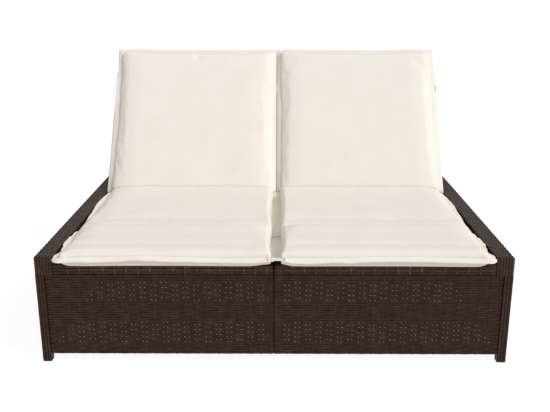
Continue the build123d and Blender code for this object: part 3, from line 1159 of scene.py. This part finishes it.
    def swell(self, x, y, z, sewn):
        """Crown, gathers along the seams and slight unevenness of the filling."""
        if z <= sewn:
            return 0.0
        to_side = self.half_x - abs(x)
        to_front, to_rear = y - self.front, self.rear - y
        soft_front = ease_in(to_front, 0, self.end_run) if self.front_flange else 1.0
        soft_rear = ease_in(to_rear, 0, self.end_run) if self.rear_flange else 1.0
        soft_side = ease_in(to_side, 0, self.side_run) if x > 0 or self.part == "back" else 1.0
        crown = self.crown * (soft_side * soft_front * soft_rear - 1)
        inside = ease_in(to_side, -10 * MM, 60 * MM)
        for away, (height, place, half_width) in self.swellings(to_front, to_rear):
            crown += inside * height * math.exp(-(((away - place) / half_width) ** 2))
        level = (z - sewn) / (self.thickness - sewn)
        gathers = self.gather(y, to_side, 1)
        gathers += self.gather(x, to_front, 2) + self.gather(x, to_rear, 3)
        filling = noise.noise(Vector((x * 6, y * 6, self.seed * 2.7))) * 0.6 * MM
        return (crown + gathers + filling) * level

    def swellings(self, to_front, to_rear):
        """Where the filling bulges or gives way across the whole width."""
        if self.part == "leg":
            return ((to_front, self.foot_hollow), (to_rear, self.rear_fold))
        return ((to_front, self.front_fold),) if self.part == "seat" else ()

    def seam_rise(self, x, y):
        """The seam at the foot end isn't straight."""
        near = 1 - ease_in(y, self.front, self.front + self.corner_run)
        return between(self.seam_rises, self.half_x - x) * near if self.front_flange else 0.0

    def gather(self, along, away, row):
        """Small folds that run in from a seam."""
        wide = noise.noise(Vector((along * 24, self.seed + row * 7.3, 0)))
        fine = noise.noise(Vector((along * 60, self.seed + row * 3.1, 4)))
        reach = 0.9 * MM * wide * math.exp(-max(away, 0) / (34 * MM))
        return reach + 0.5 * MM * fine * math.exp(-max(away, 0) / (14 * MM))

    def flange_width(self, x, y, outward):
        """How far the flange stands out at the sides and at the ends."""
        ripple = noise.noise(Vector((x * 9, y * 9, self.seed * 5.3)))
        drawn = self.half_x * (1 - self.fit(self.half_x, y)[0])
        if x < 0:
            side = self.side_flange + self.centre_reach + drawn - self.fuller
            if self.part == "back":
                side += -self.line_shift if self.laps_over else self.line_shift
            else:
                side += (6 if self.laps_over else 1) * MM + 0.5 * MM * ripple
        else:
            side = between(self.outer_edge, min(max(y, self.front), self.rear)) + 1.0 * MM * ripple
        ends = self.front_flange if outward.y < 0 else self.rear_flange
        ends = ends * (0.96 + 0.08 * ripple) if ends else 0.5 * MM
        if x < 0 and outward.y > 0 and self.part == "seat":
            ends = self.tuck
        if outward.y < 0 and self.part == "back":
            ends = self.hem
        return Vector((outward.x * side, outward.y * ends))

    def flange_level(self, x, y, share):
        """Height of the flange: it waves, hangs at a front corner and laps over its neighbour."""
        wide = noise.noise(Vector((x * 7, y * 7, self.seed * 4.1)))
        fine = noise.noise(Vector((x * 24, y * 24, self.seed * 9.1)))
        out = max(0.0, share - 0.3) / 0.7
        wave = sizes().flange_wave * (1.3 * wide + 0.5 * fine) * out
        outer = wave
        if self.front_flange:
            outer -= self.corner_droop * out * ease_in(self.front + self.crease_run - y, 0, self.crease_run)
        if self.part == "back":
            outer -= self.outer_droop * out * ease_in(x, self.half_x - self.corner_run, self.half_x)
            inner = wave * 0.2 - (self.strip_sag if self.laps_over else self.strip_sag / 3) * out
        else:
            inner = wave * 0.4 + (1.7 * MM if self.laps_over else -1.7 * MM) * out
            inner += 0.9 * MM * out * noise.noise(Vector((x * 150, y * 14, self.seed * 3.3)))
            to_seat = self.rear - y if self.part == "leg" else y - self.front
            lip = 0.5 if self.part == "leg" else 3
            inner += lip * MM * (1 - ease_in(to_seat, 0, self.crease_run))
        shift = ease_in(x, -self.half_x, -self.half_x + self.corner_reach)
        return self.sewn_at(x, y) + self.seam_rise(x, y) + inner + (outer - inner) * shift


def between(table, value):
    """A smooth curve through (place, value) pairs in millimetres."""
    place = value / MM
    for (start, low), (end, high) in zip(table, table[1:]):
        if place <= end:
            return (low + (high - low) * ease_in(place, start, end)) * MM
    return table[-1][1] * MM


def pad_body(name, pad):
    """The stuffed cover of a section, with its underside at 0 and its front at 0."""
    box = (2 * pad.half_x, 2 * pad.half_y, pad.thickness)
    body = gridded_box(name, box, sizes().cushion_cell)
    for vert in body.data.vertices:
        vert.co = pad.cover(vert.co)
    puff(body, pad)
    modifier = body.modifiers.new("soft", "SUBSURF")
    modifier.levels = modifier.render_levels = 1
    return apply_modifiers(body)


def puff(body, pad):
    """Blows the cover up as cloth that is held where it is sewn, so that it strains and wrinkles."""
    before = [vert.co.copy() for vert in body.data.vertices]
    seam = body.vertex_groups.new(name="seam")
    for vert in body.data.vertices:
        fit_x, fit_y = pad.fit(*vert.co.xy)
        across = vert.co.x + pad.towards_middle(vert.co.x)
        near_x = abs(across) > pad.half_x * fit_x - 5 * MM
        near_y = abs(vert.co.y - pad.middle_y) > pad.half_y * fit_y - 3 * MM
        if (near_x or near_y) and abs(vert.co.z - pad.sewn_at(*vert.co.xy)) < 5 * MM:
            seam.add([vert.index], 1.0, "REPLACE")
    modifier = body.modifiers.new("cover", "CLOTH")
    cloth = modifier.settings
    stiffness = {"tension": 30, "compression": 30, "shear": 15, "bending": 4}
    for key, value in stiffness.items():
        setattr(cloth, key + "_stiffness", value)
    cloth.quality = 5
    cloth.mass = 0.3
    cloth.use_pressure = True
    cloth.uniform_pressure_force = 0.6
    cloth.shrink_min = -0.003
    cloth.vertex_group_mass = "seam"
    cloth.pin_stiffness = 1
    cloth.effector_weights.gravity = 0
    modifier.collision_settings.use_collision = False
    scene = bpy.context.scene
    for step in range(1, 11):
        scene.frame_set(step)
    apply_modifiers(body)
    scene.frame_set(1)
    limit = sizes().cushion_swell
    for vert, start in zip(body.data.vertices, before):
        move = vert.co - start
        if move.length > limit:
            move *= limit / move.length
        vert.co = start + move
        vert.co.y = min(max(vert.co.y, 0.4 * MM), pad.length - 0.4 * MM)
        if start.z >= 0:
            vert.co.z = max(vert.co.z, 0.4 * MM)


def merged(item, distance, then):
    """Joins points that lie this close together, and takes one more step in edit mode."""
    only(item)
    bpy.ops.object.mode_set(mode="EDIT")
    bpy.ops.mesh.select_all(action="SELECT")
    bpy.ops.mesh.remove_doubles(threshold=distance)
    then()
    bpy.ops.object.mode_set(mode="OBJECT")
    return item


def cloth_map(item):
    """Lays the weave of the cover flat on each face, in metres."""
    layer = item.data.uv_layers.new(name="cloth")
    for face in item.data.polygons:
        across = 0 if abs(face.normal.x) < 0.75 else 1
        up = 2 if abs(face.normal.z) < 0.66 else 1
        if across == up:
            up = 2
        for index in face.loop_indices:
            point = item.data.vertices[item.data.loops[index].vertex_index].co
            layer.data[index].uv = (point[across], point[up])
    return item


def flange_strip(name, pad):
    """The flat sewn edge round a section, a little rippled."""
    sunk = 8 * MM
    corner = 12 * MM
    perimeter = ring_length(pad.half_x, pad.half_y, corner)
    around = int(perimeter / (2.8 * MM))
    rows = 6
    bar = straight_bar(name, perimeter, 1.0, 2.8 * MM, around, True, 0.3)
    only(bar)
    bpy.ops.object.mode_set(mode="EDIT")
    for index in range(1, rows):
        bpy.ops.mesh.select_all(action="SELECT")
        bpy.ops.mesh.bisect(plane_co=(0, 0, index / rows - 0.5), plane_no=(0, 0, 1))
    bpy.ops.object.mode_set(mode="OBJECT")

    def place(along, above, across):
        point, outward = ring_point(along, pad.half_x, pad.half_y, corner)
        y = point.y + pad.middle_y
        fit_x, fit_y = pad.fit(point.x, y)
        square = outward / max(abs(outward.x), abs(outward.y))
        if pad.part == "leg" and outward.x > 0 and outward.y < 0:
            square = outward * 1.12
        elif min(abs(square.x), abs(square.y)) > 0.41:
            square = Vector((math.copysign(1, square.x), math.copysign(1, square.y)))
            point = Vector((pad.half_x * square.x, pad.half_y * square.y))
        reach = pad.flange_width(point.x, y, square)
        share = across + 0.5
        edge_x = point.x * fit_x - pad.towards_middle(point.x)
        edge = Vector((edge_x, pad.middle_y + point.y * fit_y))
        where = edge - square * sunk + (square * sunk + reach) * share
        return (where.x, where.y, pad.flange_level(point.x, y, share) + above)

    lay(bar, place)
    return merged(bar, 0.2 * MM, bpy.ops.mesh.normals_make_consistent)


class LOUNGER_OT_cushions(bpy.types.Operator):
    """Cut, sew and fill the six cushion sections"""

    bl_idname = "lounger.cushions"
    bl_label = "Cushions"

    thickness = 53 * MM
    front_flange, top_flange = 14 * MM, 20 * MM
    back_start, back_end = 22 * MM, 721 * MM
    back_face = 13 * MM

    def execute(self, context):
        parts = (
            ("leg", (self.front_flange, 0.0), 1.7), ("seat", (0.0, 0.0), 3.4),
            ("back", (0.0, self.top_flange), 5.1)
        )
        for side, sign in SIDES:
            for part, flanges, seed in parts:
                self.section(side, sign, part, flanges, seed + sign)
        return {"FINISHED"}

    # Along the outer side of each section, in millimetres: how far from its front, how wide a flange
    outer_edges = {
        "leg": ((0, 20), (34, 18), (74, 8), (112, 14), (160, 23), (222, 21), (240, 14), (266, 13), (284, 6)),
        "seat": ((0, 5), (28, 3), (80, 5), (203, 15), (355, 23), (445, 19), (515, 12), (531, 9)),
        "back": ((0, 21), (120, 23), (350, 26), (560, 24), (600, 20), (700, 21))
    }

    def section(self, side, sign, part, flanges, seed):
        low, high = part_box(f"{part}_cushion_right")
        middle_x = (low[0] + high[0]) / 2
        length = self.back_end - self.back_start if part == "back" else high[1] - low[1]
        width = high[0] - low[0]
        pad = Pad(part, width, length, self.thickness, flanges, self.outer_edges[part], sign > 0, seed)
        name = f"{part}_pad_{side}"
        body = pad_body(name, pad)
        item = cloth_map(join([body, flange_strip(name + "_flange", pad)], name))
        if part == "back":
            start = self.back_start
            lie = ((1, 0, 0, middle_x), (0, 0, -1, -self.back_face), (0, 1, 0, start), (0, 0, 0, 1))
            place = on_back() @ Matrix(lie)
        else:
            place = Matrix.Translation((middle_x, low[1], low[2]))
        to_frame(item, place)
        if sign < 0:
            to_frame(item, Matrix.Scale(-1, 4, (1, 0, 0)))
        smooth(item, 75)
        body_name = f"back_{side}" if part == "back" else "base"
        finish(item, body_name, "cover", [f"{part}_cushion_{side}"])


class LOUNGER_OT_straps(bpy.types.Operator):
    """Elastic bands round the backs"""

    bl_idname = "lounger.straps"
    bl_label = "Back straps"

    outer_leg = 700 * MM
    slack = 1.7 * MM

    def execute(self, context):
        for side, sign in SIDES:
            node = frame["nodes"][f"back_strap_{side}"]
            copy = copy_of(node, f"elastic_band_{side}")
            copy.parent = None
            copy.matrix_world = Matrix.Identity(4)
            merged(copy, 0.01 * MM, bpy.ops.mesh.tris_convert_to_quads)
            for vert in copy.data.vertices:
                if abs(vert.co.x) > self.outer_leg:
                    vert.co.x += sign * self.slack
            bevel(copy, "edge", 0.5 * MM)
            cloth_map(copy)
            finish(copy, f"back_{side}", "cover", [f"back_strap_{side}"])
        return {"FINISHED"}


class LOUNGER_OT_hardware(bpy.types.Operator):
    """Give the tubes, stays, racks, pins, bolts and glides their finish"""

    bl_idname = "lounger.hardware"
    bl_label = "Hardware"

    def execute(self, context):
        keys = {"coated_steel": "steel", "zinc_steel": "zinc", "glide_plastic": "glide"}
        for entry in frame["record"]["subparts"]:
            node = frame["nodes"][entry["node"]]
            key = keys.get(entry["material_slot"])
            if key and not node.hide_render:
                give_material(node, key)
        return {"FINISHED"}


class LOUNGER_OT_stage(bpy.types.Operator):
    """White floor and sweep, soft light and the camera"""

    bl_idname = "lounger.stage"
    bl_label = "Stage"

    def execute(self, context):
        self.sweep()
        self.lights()
        self.camera()
        context.scene.view_settings.view_transform = "Standard"
        return {"FINISHED"}

    def sweep(self):
        bpy.ops.object.select_all(action="DESELECT")
        bpy.ops.mesh.primitive_plane_add(size=60)
        floor = bpy.context.object
        floor.name = "studio_floor"
        floor.data.materials.append(material_for("studio"))
        world = bpy.data.worlds.new("studio_world")
        bpy.context.scene.world = world
        world.use_nodes = True
        paths = add_node(world, "ShaderNodeLightPath")
        light = set_node(world, "Background", {"Color": (1, 1, 1, 1), "Strength": 0.47})
        white = add_node(world, "ShaderNodeBackground", inputs={"Color": (1, 1, 1, 1), "Strength": 1.0})
        mix = add_node(
            world, "ShaderNodeMixShader",
            links={0: paths.outputs["Is Camera Ray"], 1: light.outputs[0], 2: white.outputs[0]}
        )
        set_node(world, "World Output", links={"Surface": mix.outputs[0]})

    def lights(self):
        """One wide soft source at the right, far off, so that both places are lit alike."""
        bpy.ops.object.light_add(type="SUN", location=(3, -3, 2))
        lamp = bpy.context.object
        lamp.name = "key_light"
        lamp.data.energy = 2.13
        lamp.data.angle = math.radians(22)
        across, up = math.radians(62), math.radians(40)
        toward = Vector((math.cos(up) * math.sin(across), -math.cos(up) * math.cos(across), math.sin(up)))
        lamp.rotation_euler = toward.to_track_quat("Z", "Y").to_euler()

    def camera(self):
        bpy.ops.object.camera_add()
        camera = bpy.context.object
        camera.name = "photo_camera"
        # 735 pixels of focal length on a picture 550 pixels wide
        camera.data.sensor_width = 36
        camera.data.lens = 36 * 735 / 550
        camera.location = (0.0167, FRONT_Y - 2.217, 1.195)
        camera.rotation_euler = (math.radians(90 - 16.353), 0, math.radians(0.338))
        bpy.context.scene.camera = camera


class LOUNGER_PT_panel(bpy.types.Panel):
    """The steps that build the lounger"""

    bl_label = "Lounger"
    bl_idname = "LOUNGER_PT_panel"
    bl_space_type = "VIEW_3D"
    bl_region_type = "UI"
    bl_category = "Lounger"

    def draw(self, context):
        for operator in OPERATORS:
            self.layout.operator(operator.bl_idname)
        for group in (context.scene.lounger_sizes, context.scene.lounger_colours):
            for key in group.bl_rna.properties.keys()[2:]:
                self.layout.prop(group, key)


OPERATORS = (
    LOUNGER_OT_skirt, LOUNGER_OT_rails, LOUNGER_OT_headers, LOUNGER_OT_legs, LOUNGER_OT_decks,
    LOUNGER_OT_backs, LOUNGER_OT_cushions, LOUNGER_OT_straps, LOUNGER_OT_hardware, LOUNGER_OT_stage
)
CLASSES = (LoungerSizes, LoungerColours, *OPERATORS, LOUNGER_PT_panel)


def register():
    for item in CLASSES:
        bpy.utils.register_class(item)
    bpy.types.Scene.lounger_sizes = bpy.props.PointerProperty(type=LoungerSizes)
    bpy.types.Scene.lounger_colours = bpy.props.PointerProperty(type=LoungerColours)


def unregister():
    del bpy.types.Scene.lounger_colours
    del bpy.types.Scene.lounger_sizes
    for item in reversed(CLASSES):
        bpy.utils.unregister_class(item)


def main():
    register()
    for operator in OPERATORS:
        group, name = operator.bl_idname.split(".")
        getattr(getattr(bpy.ops, group), name)()


if __name__ == "__main__":
    main()
